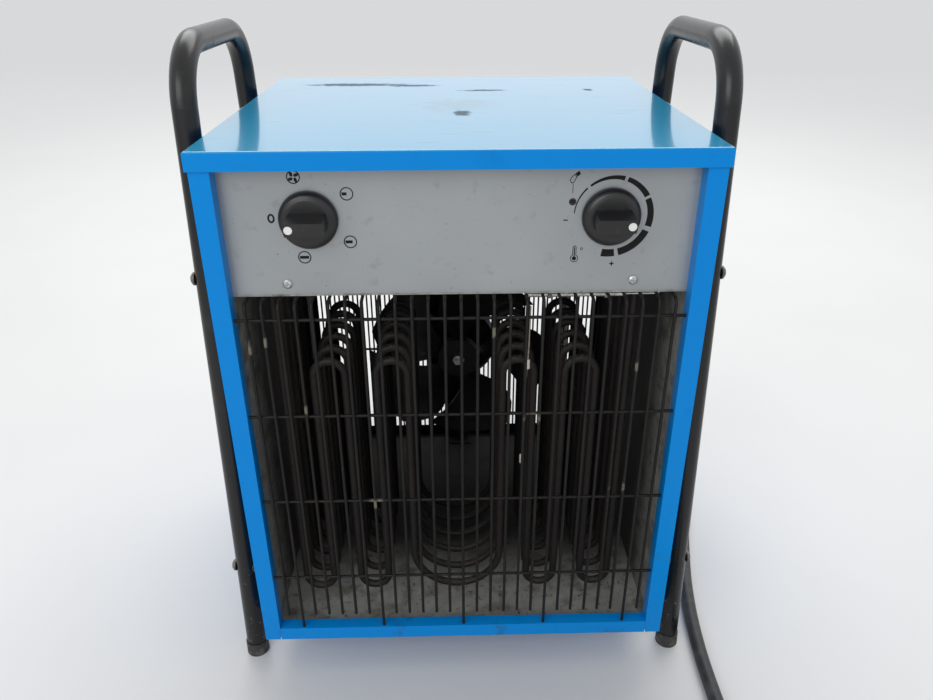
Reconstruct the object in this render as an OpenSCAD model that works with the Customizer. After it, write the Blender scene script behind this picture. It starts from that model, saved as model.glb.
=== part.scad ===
// Three-phase electric fan heater: a sheet steel case in a bent tube frame, with a control
// panel over the outlet grille, six rows of tubular elements and an axial fan behind them.
// X runs to the right seen from the front, Y runs from the front to the back, Z is up.

/* [Case] */
// Width of the lid over its turned-down edges
lid_w = 440; // [420:5:460]
// Depth of the lid, front to back
lid_d = 412; // [400:4:440]
// Height of the lid's top face above the floor
lid_top = 590; // [580:5:620]
// Height of the lid's turned-down edge
lid_edge = 16; // [12:1:20]
// Radius of the lid's folded edges
lid_fold_r = 1.8; // [1.3:0.1:1.9]
// Height of the case's underside above the floor
case_bottom = 55; // [45:1:65]
// Thickness of the painted steel sheet
sheet = 1.2; // [0.8:0.1:2]
// Clearance between the lid's edge and the side panels
lid_gap = 0.8; // [0.4:0.1:1.5]
// Width of the posts that the side panels fold into at the front and back
post_w = 17; // [14:1:20]
// Depth of the posts' inward return
post_d = 15; // [12:1:20]
// Height of the base tray's front lip
lip_h = 16; // [12:1:20]
// Depth of the ledge on top of the front lip
ledge_d = 13; // [8:1:16]
// Thickness of the galvanised inner sheets
liner_t = 0.8; // [0.6:0.1:1.2]
// Space between a side panel and its liner
liner_gap = 10; // [9:1:12]

/* [Control panel] */
// Height of the control panel's lower edge above the floor
panel_bottom = 461; // [456:1:470]
// Thickness of the control panel
panel_t = 1.5; // [1:0.1:2.5]
// Distance of each knob from the middle of the panel
knob_x = 128; // [110:1:140]
// Height of the knobs' axes above the floor
knob_z = 529; // [520:1:535]
// Diameter of a knob's skirt
knob_d = 50; // [44:1:54]
// Height of a knob from the panel side to the grip's front
knob_h = 29.5; // [24:0.5:32]
// Clearance between a knob and the panel
knob_gap = 0.5; // [0.3:0.1:1]
// Distance of the panel's screws from its middle
panel_screw_x = 152; // [140:1:160]
// Diameter of the reset button
reset_d = 4; // [3:0.5:5]
// Place of the reset button to the right of the middle
reset_x = 94.5; // [92:0.5:96]
// Height of the reset button above the floor
reset_z = 542; // [536:1:545]

/* [Frame] */
// Diameter of the frame tube
tube_d = 23; // [20:1:25]
// Wall of the frame tube
tube_wall = 1.5; // [1:0.1:2.5]
// Length of the spacers between the tubes and the case
spacer_l = 12; // [10:1:16]
// Distance of the front legs behind the lid's front at the floor
foot_y = 40; // [30:1:50]
// How far each leg leans inwards over its height
leg_lean = 58; // [40:1:70]
// Height of the top bar's axis
bar_z = 658; // [645:1:680]
// Radius of the tube's bends at its axis
tube_bend_r = 55; // [45:1:65]
// Height of the upper bolts
bolt_top_z = 452; // [440:1:452]
// Height of the lower bolts
bolt_low_z = 120; // [100:1:160]
// Diameter of the frame bolts
bolt_d = 6; // [5:1:8]

/* [Front grille] */
// Diameter of the front grille's wires
wire_d = 3; // [2.5:0.1:3.5]
// Spacing of the upright wires
wire_pitch = 14.6; // [13:0.1:16]
// Length of the wires' upper ends under the shelf
wire_return = 26; // [20:1:28]
// Every which upright wire from the middle reaches down to the ledge
long_every = 6; // [3:1:6]
// Height of the lower ends of the short wires above the ledge
short_rise = 18; // [10:1:25]
// Height of the lowest cross wire above the floor
cross_z = 140; // [120:1:160]
// Spacing of the four cross wires
cross_pitch = 100; // [90:1:102]
// Number of cross wires
cross_count = 4; // [3:1:4]

/* [Rear grille] */
// Diameter of the rear grille's upright wires
rear_wire_d = 2.5; // [2:0.1:3]
// Diameter of the rear grille's cross wires
rear_cross_d = 3.5; // [3:0.1:4]
// Spacing of the upright wires
rear_pitch = 6.5; // [5.5:0.1:6.7]
// Number of cross wires
rear_cross_count = 4; // [3:1:5]

/* [Heating elements] */
// Diameter of an element's sheath
element_d = 8; // [6.5:0.1:8.5]
// Number of rows of elements, one behind the other
rows = 6; // [3:1:6]
// Spacing of the rows
row_pitch = 28; // [26:0.5:29]
// Distance of the first row behind the lid's front
row_front = 50; // [46:1:60]
// Half the width of the wide middle bend
middle_r = 47; // [40:1:48]
// Distance from a liner to the axis of an element's outermost run, with the elements centred
element_margin = 37.4; // [36:0.2:45]
// How far the elements sit to the left of the middle
element_shift = 6; // [0:1:8]
// Height of the arches' tops at the sheath's axis
arch_top = 376; // [350:1:400]
// Height of the lower bends at the sheath's axis
bend_bottom = 88; // [80:1:110]

/* [Fan] */
// Diameter over the fan's blades
fan_d = 248; // [220:2:260]
// Number of blades
blade_count = 5; // [4:1:6]
// Height of the fan's axis above the floor
fan_z = 235; // [220:1:250]
// Distance of the fan's middle plane before the lid's back
fan_set_back = 84; // [80:1:94]
// Axial depth of the blades at the tip
blade_depth = 30; // [20:1:34]
// Diameter of the fan's hub
hub_d = 56; // [40:1:60]
// Diameter of the fan motor
motor_d = 104; // [90:1:110]
// Diameter of the motor's shaft
shaft_d = 8; // [6:1:10]

/* [Supply cord] */
// Diameter of the rubber supply cord
cord_d = 16; // [14:0.5:16]
// Distance of the cable gland's axis from the right post
gland_inset = 23; // [21:1:40]
// Height of the cable gland above the floor
gland_z = 505; // [500:1:520]
// Radius of the coil's outermost loop at the cord's axis
coil_r = 96; // [90:1:100]
// Sideways step of the coil from one loop to the next
coil_pitch = 20; // [19.6:0.1:24]
// Diameter of the plug's collar
plug_d = 66; // [60:1:70]
// Length of the plug
plug_l = 150; // [130:1:170]

/* [Hidden] */
$fn = 48;

// Overrun of a cut past the face that it opens
cut = 1;
// Gap that lets two curved or moving faces lie beside each other
seat_gap = 0.3;
// Gap round a bolt or screw in its hole
hole_gap = 0.2;
// Running clearance of a shaft in its bearing, on the radius
run_gap = 0.05;

// The knobs reach past the lid's front, and the origin is under the middle of the whole
panel_y = sheet + lid_gap + post_d;
knob_reach = knob_h + knob_gap - panel_y;
front_y = -(lid_d - knob_reach) / 2;

// Case
body_w = lid_w - 2 * (sheet + lid_gap);
body_front = sheet + lid_gap;
body_back = lid_d - sheet - lid_gap;
body_top = lid_top - sheet;
post_in = body_w / 2 - post_w;
ledge_z = case_bottom + lip_h;
floor_z = case_bottom + sheet;
tray_flange_h = 20;
liner_x = body_w / 2 - sheet - liner_gap;
liner_foot = liner_gap - 2;
liner_front = panel_y + sheet;
liner_back = body_back - post_d;
shelf_top = panel_bottom - panel_t + seat_gap;
shelf_t = 1.2;
shelf_under = shelf_top - shelf_t;
shelf_flange_h = 24;
panel_back = panel_y + panel_t;
panel_half_w = body_w / 2 - sheet - seat_gap;
panel_screw_d = 4;
panel_screw_z = panel_bottom + 10;
lid_screw_d = 4;
lid_screw_inset = 60;
lid_screw_z = lid_top - lid_edge / 2;
rear_panel_y = body_back - sheet - sheet;

// Frame
tube_r = tube_d / 2;
tube_x = body_w / 2 + spacer_l + tube_r;
lean_a = atan(leg_lean / bar_z);
bend_a = 90 - lean_a;
bend_tangent = tube_bend_r * tan(bend_a / 2);
leg_l = bar_z / cos(lean_a) - bend_tangent;
// The seams where the top bar's straight length meets its bends
seam_l = 0.3;
seam_rise = 0.03;
cap_wall = 0.9;
cap_gap = 0.1;
cap_floor = 4;
cap_h = 15;
cap_r = tube_r + cap_gap + cap_wall;
spacer_r = 9;
bolt_head_r = 6.5;
bolt_head_h = 4;
nut_h = 5;
nut_r = 5.8;
function leg_y(z) = foot_y + leg_lean * z / bar_z;
bolt_places = [
    for (z = [bolt_low_z, bolt_top_z]) for (y = [leg_y(z), lid_d - leg_y(z)]) [y, z]
];

// Front grille
wire_y = body_front + sheet + seat_gap + wire_d / 2;
weld = 0.4;
cross_y = wire_y + wire_d - weld;
wire_bend_r = 6;
wire_top = shelf_under - seat_gap - wire_d / 2;
wire_back = wire_y + wire_return;
wire_half = floor((post_in - 2 * wire_d) / wire_pitch);

// Rear grille
rear_cross_y = body_back - sheet - seat_gap - rear_cross_d / 2;
rear_wire_y = rear_cross_y - rear_cross_d / 2 - rear_wire_d / 2 + weld;
rear_low = ledge_z;
rear_high = shelf_under - seat_gap;
rear_cross_margin = 22;
rear_half = floor((post_in - 2 * rear_wire_d) / rear_pitch);

// Elements
run_shares = [0, 1, 2, 3];
run_pitch = (liner_x - element_margin - middle_r) / 4;
leg_top = shelf_top + 14;
bushing_r = 8;
bushing_h = 6;
terminal_h = 16;
terminal_r = 4.5;
stud_r = 2;

// Controls
knob_r = knob_d / 2;
knob_skirt_h = 5;
knob_face_h = 9;
knob_face_r = 16.5;
grip_base_half = 8;
grip_front_half = 5.5;
pointer_r = 3.6;
pointer_depth = 0.6;
spindle_r = 3;
spindle_hole_r = 5;
switch_w = 44;
switch_l = 56;
switch_wafer_l = 11;
thermostat_w = 42;
thermostat_l = 26;
reset_travel = 1.5;
reset_collar_r = 3.4;
reset_stem_l = 9;
cutout_r = 8;
cutout_l = 24;
capillary_r = 1.2;
bulb_r = 2.6;
bulb_l = 88;
bulb_y = wire_back + 6;
bulb_z = shelf_under - 9;
bulb_end_x = 62;
capillary_x = 186;
capillary_bend_r = 8;
clip_t = 1;

// Fan
fan_y = lid_d - fan_set_back;
hub_r = hub_d / 2;
hub_l = 16;
hub_web = 4;
shaft_r = shaft_d / 2;
blade_t = 1.6;
blade_sweep_a = 26;
blade_span_a = 62;
first_blade_a = 58;
motor_front = fan_y + blade_depth / 2 + 10;
bracket_t = 2;
bracket_y = rear_wire_y - rear_wire_d / 2 - seat_gap - bracket_t;
bracket_plate_half = 76;
bracket_plate_z = fan_z + 33;
bracket_strip_half = 18;
motor_r = motor_d / 2;
motor_back = bracket_y;
motor_screw_z = 38;
motor_screw_d = 5;

// Control compartment
rail_y = 250;
rail_w = 35;
rail_h = 7.5;
rail_length = 180;
contactor_w = 45;
contactor_d = 78;
contactor_h = 84;
block_x = 96;
block_y = 300;
block_pitch = 12;
block_poles = 5;

// Cable gland
gland_x = post_in - gland_inset;
gland_hex_r = 18;
gland_flange_t = 6;
gland_dome_r = 15;
gland_dome_l = 17;
gland_thread_r = 12.5;
gland_thread_l = 14;
boot_l = 26;
boot_base_r = 13;
boot_tip_r = 9.5;
gland_face = body_back - sheet;
boot_y = gland_face + gland_flange_t + gland_dome_l;
cord_start_y = boot_y + boot_l;

// Supply cord. The free stretch's route, point by point, behind the lid's front
cord_r = cord_d / 2;
cord_sides = 10;
cord_route = [
    [178, 457, 505], [178, 475, 505], [178, 501, 500], [178, 523, 486], [178, 538, 462],
    [178, 543, 430], [178, 543, 388], [178, 543, 346], [178, 543, 304], [178, 543, 262],
    [178, 543, 220], [178, 543, 178], [178, 543, 138], [180, 542, 102], [187, 538, 68],
    [202, 529, 38], [225, 516, 17], [254, 499, 8], [286, 475, 8], [312, 444, 8],
    [329, 407, 8], [336, 367, 8], [335, 326, 8], [328, 286, 8], [318, 246, 8],
    [307, 206, 8], [297, 166, 8], [288, 126, 8], [281, 86, 8], [276, 46, 8],
    [273, 6, 8], [272, -34, 8], [272, -74, 8], [272, -108, 8], [272, -142, 8]
];
tail_route = [
    [158, -286, 26], [142, -286, 26], [120, -286, 28.5], [98, -286, 32], [80, -286, 33],
    [62, -286, 33]
];

// Coil: in along the lower layer, a half turn that climbs, and out along the upper layer
coil_sides = 6;
coil_rings = 24;
coil_lift = 1.4;
coil_low_z = cord_r + coil_lift;
layer_step = cord_d + 0.6;
cord_end = cord_route[len(cord_route) - 1];
coil_lead = 48;
coil_exit_l = 18;
coil_centre = [cord_end[0] - coil_r, cord_end[1] - coil_lead];
coil_in_share = 0.875;
coil_turns = 2 * coil_in_share + 0.5;

function turn_share(t) = t < coil_in_share ? 0 : min(1, (t - coil_in_share) * 2);
function eased(s) = s * s * (3 - 2 * s);
function loop_r(t) = coil_r - coil_pitch * min(t, coil_in_share, coil_turns - t);
function loop_z(t) = coil_low_z + layer_step * eased(turn_share(t));
function loop_point(t) = [
    coil_centre[0] + loop_r(t) * cos(360 * t),
    coil_centre[1] - loop_r(t) * sin(360 * t),
    loop_z(t)
];
coil_steps = round(coil_turns * coil_rings);
coil_first = loop_point(0);
coil_last = loop_point(coil_turns);
coil_path = concat(
    [for (l = [coil_lead, coil_lead - cord_d]) coil_first + [0, l, cord_r - coil_low_z]],
    [for (i = [0 : coil_steps]) loop_point(i * coil_turns / coil_steps)],
    [coil_last - [cord_d / 8, 0, 0], coil_last - [coil_exit_l, 0, 0]]
);

// Least gap of the coil to itself, between points more than a quarter turn apart
quarter = coil_rings / 4;
coil_gap = min([
    for (i = [0 : len(coil_path) - 1]) for (j = [i + quarter : 1 : len(coil_path) - 1])
    norm(coil_path[i] - coil_path[j])
]) - cord_d;
function route_l(p) = len(p) < 2 ? 0 : [for (i = [1 : len(p) - 1]) norm(p[i] - p[i - 1])] *
    [for (i = [1 : len(p) - 1]) 1];
echo(coil_least_gap = coil_gap);
echo(cord_length = route_l(cord_route) + route_l(coil_path) + route_l(tail_route));

// Plug
plug_r = plug_d / 2;
plug_x = 62;
plug_y = -286;
plug_z = 33;
plug_body_r = 29;
plug_nut_r = 16;
plug_nut_l = 28;
plug_shroud_l = 46;
plug_shroud_wall = 2.5;
plug_pin_r = 3;
plug_pin_l = 38;
plug_pin_ring_r = 17;

// Sweeps a round tube along a line of points
function unit(v) = v / norm(v);
function tangents(p) = [
    for (i = [0 : len(p) - 1]) unit(p[min(i + 1, len(p) - 1)] - p[max(i - 1, 0)])
];
function carried(t, n, i = 0) = i >= len(t) ? [] :
    let (m = unit(n - (n * t[i]) * t[i])) concat([m], carried(t, m, i + 1));

module swept(p, r, sides, across) {
    t = tangents(p);
    n = carried(t, across);
    last = (len(p) - 1) * sides;
    points = [
        for (i = [0 : len(p) - 1]) for (k = [0 : sides - 1])
        let (a = 360 * (k + 0.5) / sides)
        p[i] + r * (cos(a) * n[i] + sin(a) * cross(t[i], n[i]))
    ];
    walls = [
        for (i = [0 : len(p) - 2]) for (k = [0 : sides - 1])
        let (a = i * sides + k, b = i * sides + (k + 1) % sides)
        each [[a, a + sides, b], [b, a + sides, b + sides]]
    ];
    ends = [
        for (k = [1 : sides - 2]) each [[0, k, k + 1], [last, last + k + 1, last + k]]
    ];
    polyhedron(points = points, faces = concat(walls, ends));
}

// Puts the lid's front face at front_y
module placed() {
    translate([0, front_y, 0]) children();
}

module both_sides() {
    children();
    mirror([1, 0, 0]) children();
}

// A cylinder that runs towards +Y from the point given
module rod_y(r, l, at = [0, 0, 0], fn = 48) {
    translate(at) rotate([-90, 0, 0]) cylinder(r = r, h = l, $fn = fn);
}

// A cylinder that runs towards +X from the point given
module rod_x(r, l, at = [0, 0, 0], fn = 48) {
    translate(at) rotate([0, 90, 0]) cylinder(r = r, h = l, $fn = fn);
}

// A rectangle with two rounded upper corners, standing on its middle
module arched(w, h, r) {
    translate([-w / 2, 0]) square([w, h - r]);
    translate([-w / 2 + r, 0]) square([w - 2 * r, h]);
    for (x = [-1, 1]) translate([x * (w / 2 - r), h - r]) circle(r = r, $fn = 32);
}

module lid_block(w, d, h, r) {
    intersection() {
        translate([0, d, 0]) rotate([90, 0, 0]) linear_extrude(d) arched(w, h, r);
        translate([-w / 2, d / 2, 0]) rotate([90, 0, 90]) linear_extrude(w) arched(d, h, r);
    }
}

module lid() {
    color("deepskyblue") placed() difference() {
        translate([0, 0, lid_top - lid_edge]) lid_block(lid_w, lid_d, lid_edge, lid_fold_r);
        translate([0, sheet, lid_top - lid_edge - cut])
            lid_block(lid_w - 2 * sheet, lid_d - 2 * sheet, lid_edge - sheet + cut,
                max(lid_fold_r - sheet, sheet / 4));
        for (y = [lid_screw_inset, lid_d - lid_screw_inset])
            rod_x(lid_screw_d / 2 + hole_gap, lid_w + 2 * cut, [-lid_w / 2 - cut, y, lid_screw_z]);
    }
}

module lid_screws() {
    color("silver") placed() both_sides()
        for (y = [lid_screw_inset, lid_d - lid_screw_inset])
            translate([lid_w / 2, y, lid_screw_z]) rotate([0, 90, 0]) {
                pan_head(lid_screw_d);
                translate([0, 0, -2.5 * lid_screw_d]) cylinder(d = lid_screw_d, h = 2.5 * lid_screw_d);
            }
}

// Pan head with a cross recess, standing on its seat
module pan_head(d) {
    difference() {
        union() {
            cylinder(r = d, h = d * 0.35);
            translate([0, 0, d * 0.35]) cylinder(r1 = d, r2 = d * 0.7, h = d * 0.25);
        }
        for (a = [0, 90]) rotate([0, 0, a])
            translate([-d * 0.6, -d * 0.1, d * 0.25]) cube([d * 1.2, d * 0.2, d]);
    }
}

// Side panel folded into a front post, its return and a rear flange; seen from above
module side_profile() {
    half = body_w / 2;
    polygon([
        [half, body_front], [half, body_back], [post_in, body_back],
        [post_in, body_back - sheet], [half - sheet, body_back - sheet],
        [half - sheet, body_front + sheet], [post_in + sheet, body_front + sheet],
        [post_in + sheet, panel_y], [post_in, panel_y], [post_in, body_front]
    ]);
}

module side_panel() {
    difference() {
        translate([0, 0, case_bottom]) linear_extrude(body_top - case_bottom) side_profile();
        for (b = bolt_places)
            rod_x(bolt_d / 2 + hole_gap, 3 * sheet, [body_w / 2 - 2 * sheet, b[0], b[1]]);
        for (y = [lid_screw_inset, lid_d - lid_screw_inset])
            rod_x(lid_screw_d / 2 + hole_gap, 3 * sheet, [body_w / 2 - 2 * sheet, y, lid_screw_z]);
        translate([post_in - cut, body_front - cut, case_bottom - cut])
            cube([sheet + cut, post_d + 2 * cut, ledge_d / 4 + cut]);
    }
}

module right_side_panel() {
    color("deepskyblue") placed() side_panel();
}

module left_side_panel() {
    color("deepskyblue") placed() mirror([1, 0, 0]) side_panel();
}

module base_tray() {
    inner = body_w / 2 - sheet - hole_gap;
    lip_half = post_in - hole_gap;
    color("deepskyblue") placed() {
        translate([-inner, panel_y + hole_gap, case_bottom])
            cube([2 * inner, body_back - sheet - hole_gap - panel_y - hole_gap, sheet]);
        translate([-lip_half, body_front, case_bottom])
            cube([2 * lip_half, panel_y + hole_gap - body_front, sheet]);
        translate([-lip_half, body_front, case_bottom]) cube([2 * lip_half, sheet, lip_h]);
        translate([-lip_half, body_front, ledge_z - sheet]) cube([2 * lip_half, ledge_d, sheet]);
        translate([-lip_half, body_front + ledge_d - sheet, ledge_z - lip_h / 2])
            cube([2 * lip_half, sheet, lip_h / 2]);
        translate([-lip_half, body_back - sheet, case_bottom]) cube([2 * lip_half, sheet, lip_h]);
        translate([-lip_half, body_back - 2 * sheet, case_bottom]) cube([2 * lip_half, 2 * sheet, sheet]);
        both_sides() translate([inner - sheet, liner_front, case_bottom])
            cube([sheet, liner_back - liner_front, tray_flange_h]);
    }
}

module inner_floor() {
    half = liner_x - hole_gap;
    start = body_front + ledge_d + hole_gap;
    color("lightgray") placed()
        translate([0, 0, floor_z]) linear_extrude(liner_t) difference() {
            translate([-half, start]) square([2 * half, liner_back - start]);
            both_sides() translate([post_in - hole_gap, start - cut])
                square([post_w, panel_y - start + cut + hole_gap]);
        }
}

module liner() {
    translate([liner_x, liner_front, floor_z])
        cube([liner_t, liner_back - liner_front, shelf_under - floor_z]);
    translate([liner_x, liner_front, floor_z])
        cube([liner_foot, liner_back - liner_front, liner_t]);
}

module right_liner() {
    color("lightgray") placed() liner();
}

module left_liner() {
    color("lightgray") placed() mirror([1, 0, 0]) liner();
}

// Holes of the element ends, row by row
module at_element_ends() {
    for (row = [0 : rows - 1]) for (s = [-1, 1])
        translate([s * (middle_r + 4 * run_pitch) - element_shift, row_front + row * row_pitch, 0])
            children();
}

module component_shelf() {
    half = body_w / 2 - sheet - hole_gap;
    color("lightgray") placed() difference() {
        union() {
            translate([-half, panel_back, shelf_under])
                cube([2 * half, rear_panel_y - panel_back, shelf_t]);
            translate([-half, panel_back, shelf_under]) cube([2 * half, shelf_t, shelf_flange_h]);
        }
        at_element_ends() translate([0, 0, shelf_under - cut])
            cylinder(d = element_d + 2 * hole_gap, h = shelf_t + 2 * cut);
        translate([capillary_x, bulb_y, shelf_under - cut])
            cylinder(r = 2 * capillary_r, h = shelf_t + 2 * cut);
        both_sides() rod_y(panel_screw_d / 2 + hole_gap, shelf_t + 2 * cut,
            [panel_screw_x, panel_back - cut, panel_screw_z]);
    }
}

module control_panel() {
    color("silver") placed() difference() {
        union() {
            translate([-panel_half_w, panel_y, panel_bottom])
                cube([2 * panel_half_w, panel_t, body_top - panel_bottom - hole_gap]);
        }
        for (x = [-knob_x, knob_x])
            rod_y(spindle_hole_r, panel_t + 2 * cut, [x, panel_y - cut, knob_z]);
        rod_y(reset_d / 2 + hole_gap, panel_t + 2 * cut, [reset_x, panel_y - cut, reset_z]);
        both_sides() rod_y(panel_screw_d / 2 + hole_gap, panel_t + 2 * cut,
            [panel_screw_x, panel_y - cut, panel_screw_z]);
    }
}

module panel_screws() {
    color("silver") placed() both_sides()
        translate([panel_screw_x, panel_y, panel_screw_z]) rotate([90, 0, 0]) {
            pan_head(panel_screw_d);
            translate([0, 0, -3 * panel_screw_d]) cylinder(d = panel_screw_d, h = 3 * panel_screw_d);
        }
}

module rear_panel() {
    color("deepskyblue") placed() difference() {
        translate([-panel_half_w, rear_panel_y, panel_bottom])
            cube([2 * panel_half_w, sheet, body_top - panel_bottom - hole_gap]);
        rod_y(gland_thread_r + hole_gap, sheet + 2 * cut, [gland_x, rear_panel_y - cut, gland_z]);
        for (i = [0 : 9]) for (s = [-1, 1])
            translate([s * (2.5 + 5 * i) * sheet * 2 - sheet, rear_panel_y - cut, lid_top - 4 * lid_edge])
                cube([2 * sheet, sheet + 2 * cut, 2 * lid_edge]);
    }
}

// One upright wire: up the front, then a bend back under the shelf
module grille_wire(low) {
    translate([0, wire_y, low]) cylinder(d = wire_d, h = wire_top - wire_bend_r - low, $fn = 24);
    translate([0, wire_y + wire_bend_r, wire_top - wire_bend_r]) rotate([90, 0, -90])
        rotate_extrude(angle = 90, $fn = 24) translate([wire_bend_r, 0]) circle(d = wire_d, $fn = 24);
    rod_y(wire_d / 2, wire_back - wire_y - wire_bend_r, [0, wire_y + wire_bend_r, wire_top], 24);
}

module front_grille() {
    color([0.16, 0.15, 0.14]) placed() {
        for (i = [-wire_half : wire_half])
            translate([i * wire_pitch, 0, 0])
                grille_wire(i % long_every == 0 ? ledge_z : ledge_z + short_rise);
        for (k = [0 : cross_count - 1])
            rod_x(wire_d / 2, 2 * (post_in - seat_gap),
                [-post_in + seat_gap, cross_y, cross_z + k * cross_pitch], 24);
    }
}

module rear_grille() {
    step = (rear_high - rear_low - 2 * rear_cross_margin) / (rear_cross_count - 1);
    color([0.2, 0.2, 0.2]) placed() {
        for (i = [-rear_half : rear_half])
            translate([i * rear_pitch, rear_wire_y, rear_low])
                cylinder(d = rear_wire_d, h = rear_high - rear_low, $fn = 16);
        for (k = [0 : rear_cross_count - 1])
            rod_x(rear_cross_d / 2, 2 * (liner_x - hole_gap),
                [-liner_x + hole_gap, rear_cross_y, rear_low + rear_cross_margin + k * step], 16);
    }
}

// Half of the frame loop in the YZ plane: a leaning leg and its bend, hollow where bore_r is set
module half_loop(r, low, bore_r) {
    translate([0, foot_y, 0]) rotate([-lean_a, 0, 0]) {
        translate([0, 0, low]) linear_extrude(leg_l - low) rotate(-90) ring(r, bore_r);
        translate([0, tube_bend_r, leg_l]) rotate([90, 0, -90])
            rotate_extrude(angle = bend_a) translate([tube_bend_r, 0]) ring(r, bore_r);
    }
}

module ring(r, bore_r) {
    difference() {
        circle(r = r);
        if (bore_r > 0) circle(r = bore_r);
    }
}

// A straight length of tube towards +Y at the top bar's height
module bar(r, bore_r, from_y, l) {
    translate([0, from_y, bar_z]) rotate([-90, 0, 0]) linear_extrude(l) ring(r, bore_r);
}

module loop(r, low, bore_r = 0) {
    bar_y = foot_y + leg_lean + bend_tangent;
    half_loop(r, low, bore_r);
    translate([0, lid_d, 0]) mirror([0, 1, 0]) half_loop(r, low, bore_r);
    bar(r, bore_r, bar_y + seam_l / 4, lid_d - 2 * bar_y - seam_l / 2);
    for (y = [bar_y, lid_d - bar_y])
        bar(r + seam_rise, bore_r > 0 ? bore_r - seam_rise : 0, y - seam_l, 2 * seam_l);
}

module frame_tube() {
    translate([tube_x, 0, 0]) difference() {
        loop(tube_r, cap_floor, tube_r - tube_wall);
        for (b = bolt_places)
            rod_x(bolt_d / 2 + hole_gap, tube_d + 2 * cut, [-tube_r - cut, b[0], b[1]]);
    }
}

module right_frame_tube() {
    color([0.09, 0.09, 0.1]) placed() frame_tube();
}

module left_frame_tube() {
    color([0.09, 0.09, 0.1]) placed() mirror([1, 0, 0]) frame_tube();
}

module foot_cap() {
    difference() {
        translate([0, foot_y, 0]) rotate([-lean_a, 0, 0]) difference() {
            translate([0, 0, -cap_floor]) cylinder(r = cap_r, h = cap_h + cap_floor);
            translate([0, 0, cap_floor - cap_gap]) cylinder(r = tube_r + cap_gap, h = cap_h);
        }
        translate([-tube_d, foot_y - tube_d, -tube_d]) cube([2 * tube_d, 2 * tube_d, tube_d]);
    }
}

module foot_caps() {
    color([0.2, 0.2, 0.2]) placed() both_sides() translate([tube_x, 0, 0]) {
        foot_cap();
        translate([0, lid_d, 0]) mirror([0, 1, 0]) foot_cap();
    }
}

module frame_spacers() {
    color([0.12, 0.12, 0.12]) placed() both_sides() difference() {
        for (b = bolt_places) rod_x(spacer_r, spacer_l + tube_r, [body_w / 2, b[0], b[1]]);
        for (b = bolt_places)
            rod_x(bolt_d / 2 + hole_gap, spacer_l + tube_d, [body_w / 2 - cut, b[0], b[1]]);
        translate([tube_x, 0, 0]) loop(tube_r + hole_gap, cap_floor);
    }
}

module frame_bolts() {
    outer = tube_x + tube_r + cap_gap;
    inner = body_w / 2 - sheet - nut_h - bolt_d / 6;
    color([0.15, 0.15, 0.15]) placed() both_sides()
        for (b = bolt_places) translate([0, b[0], b[1]]) {
            rod_x(bolt_d / 2, outer - inner, [inner, 0, 0]);
            difference() {
                translate([outer, 0, 0]) rotate([0, 90, 0]) {
                    cylinder(r = bolt_head_r, h = bolt_head_h / 2);
                    translate([0, 0, bolt_head_h / 2])
                        cylinder(r1 = bolt_head_r, r2 = bolt_head_r * 0.6, h = bolt_head_h / 2);
                }
                rod_x(bolt_d / 3, bolt_head_h, [outer + bolt_head_h / 2, 0, 0], 6);
            }
        }
}

module frame_nuts() {
    color("silver") placed() both_sides() difference() {
        for (b = bolt_places)
            rod_x(nut_r, nut_h, [body_w / 2 - sheet - nut_h, b[0], b[1]], 6);
        for (b = bolt_places)
            rod_x(bolt_d / 2 + run_gap, nut_h + 2 * cut,
                [body_w / 2 - sheet - nut_h - cut, b[0], b[1]]);
    }
}

// Knob on the Z axis with its skirt down and its pointer towards -X
module knob() {
    difference() {
        union() {
            rotate_extrude($fn = 72) polygon(concat(
                [[0, 0], [knob_r, 0], [knob_r, knob_skirt_h * 0.6]],
                [for (a = [0 : 15 : 75]) [
                    knob_face_r + (knob_r - knob_face_r) * cos(a) * 0.96,
                    knob_skirt_h * 0.6 + (knob_face_h - knob_skirt_h * 0.6) * sin(a)
                ]],
                [[knob_face_r, knob_face_h], [0, knob_face_h]]
            ));
            intersection() {
                cylinder(r1 = knob_face_r + 1, r2 = knob_face_r, h = knob_h);
                translate([-knob_r, 0, 0]) rotate([90, 0, 90]) linear_extrude(knob_d)
                    polygon([
                        [-grip_base_half, 0], [grip_base_half, 0], [grip_base_half, knob_face_h],
                        [grip_front_half, knob_h], [-grip_front_half, knob_h],
                        [-grip_base_half, knob_face_h]
                    ]);
            }
        }
        translate([0, 0, -cut]) cylinder(r = spindle_r + run_gap, h = knob_h * 0.6 + cut);
        translate([-knob_face_r + pointer_r + pointer_depth, 0, knob_h - pointer_depth])
            cylinder(r = pointer_r, h = cut);
    }
}

module knob_at(x, turn) {
    placed() translate([x, panel_y - knob_gap, knob_z]) rotate([90, 0, 0]) rotate([0, 0, turn]) knob();
}

module spindle_at(x) {
    inner = panel_back + switch_wafer_l;
    placed() rod_y(spindle_r, inner - panel_y + knob_gap + knob_h / 2,
        [x, panel_y - knob_gap - knob_h / 2, knob_z]);
}

module selector_knob() {
    color([0.08, 0.08, 0.08]) knob_at(-knob_x, 0);
}

module thermostat_knob() {
    color([0.08, 0.08, 0.08]) knob_at(knob_x, 180);
}

module selector_shaft() {
    color("silver") spindle_at(-knob_x);
}

module thermostat_shaft() {
    color("silver") spindle_at(knob_x);
}

module spindle_bore(x) {
    rod_y(spindle_r + run_gap, switch_wafer_l + cut + run_gap, [x, panel_back - cut, knob_z]);
}

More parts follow.
